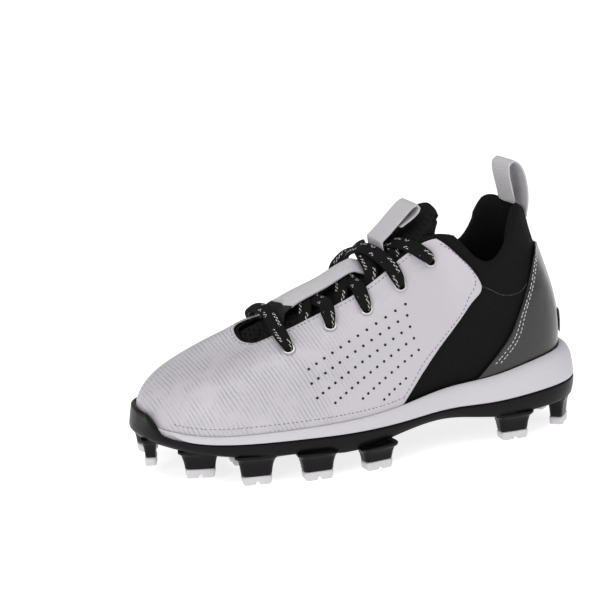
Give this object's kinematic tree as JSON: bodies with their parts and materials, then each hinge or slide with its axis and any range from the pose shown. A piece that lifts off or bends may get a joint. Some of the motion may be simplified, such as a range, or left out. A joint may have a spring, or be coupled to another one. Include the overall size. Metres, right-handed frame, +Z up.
{
  "type": "baseball cleat",
  "caption": "Low moulded baseball cleat for the left foot: white forepart panel over a dark knit upper, laced tongue with a loop, heel pull loop, white midsole and studded plate.",
  "frame": {"origin": "on the floor plane, under the middle of the shoe's bounding box", "axes": "+X from heel to toe, +Y to the outer (lateral) side of this left shoe, +Z up"},
  "size_m": [0.235, 0.0897, 0.1389],
  "materials": {
    "outsole_black": "glossy moulded plastic",
    "midsole_white": "satin foam skin",
    "stud_tip_white": "satin moulded plastic",
    "upper_black": "matte knit",
    "panel_white": "satin coated skin",
    "counter_black": "glossy patent",
    "lining_grey": "matte fabric",
    "webbing_white": "woven webbing",
    "lace_black": "woven lace",
    "eyelet_silver": "thin metal rim"
  },
  "bodies": {
    "root": {"eyelet_lateral_1": "eyelet_silver", "eyelet_lateral_2": "eyelet_silver", "eyelet_lateral_3": "eyelet_silver", "eyelet_lateral_4": "eyelet_silver", "eyelet_lateral_5": "eyelet_silver", "eyelet_medial_1": "eyelet_silver", "eyelet_medial_2": "eyelet_silver", "eyelet_medial_3": "eyelet_silver", "eyelet_medial_4": "eyelet_silver", "eyelet_medial_5": "eyelet_silver", "heel_counter": "counter_black", "heel_patch": "midsole_white", "insole": "lining_grey", "lace_bar": "lace_black", "lace_cross_1": "lace_black", "lace_cross_2": "lace_black", "lace_cross_3": "lace_black", "lace_cross_4": "lace_black", "midsole": "midsole_white", "outsole": "outsole_black", "pull_loop": "webbing_white", "tip_heel_back_lateral": "stud_tip_white", "tip_heel_back_medial": "stud_tip_white", "tip_heel_lateral": "stud_tip_white", "tip_heel_medial": "stud_tip_white", "tip_lateral_1": "stud_tip_white", "tip_lateral_2": "stud_tip_white", "tip_lateral_3": "stud_tip_white", "tip_lateral_4": "stud_tip_white", "tip_medial_1": "stud_tip_white", "tip_medial_2": "stud_tip_white", "tip_medial_3": "stud_tip_white", "tip_middle": "stud_tip_white", "tip_toe_lateral": "stud_tip_white", "tip_toe_medial": "stud_tip_white", "tongue": "upper_black", "tongue_loop": "webbing_white", "tongue_strip": "webbing_white", "upper": "upper_black", "vamp_panel": "panel_white"}
  },
  "joints": []
}
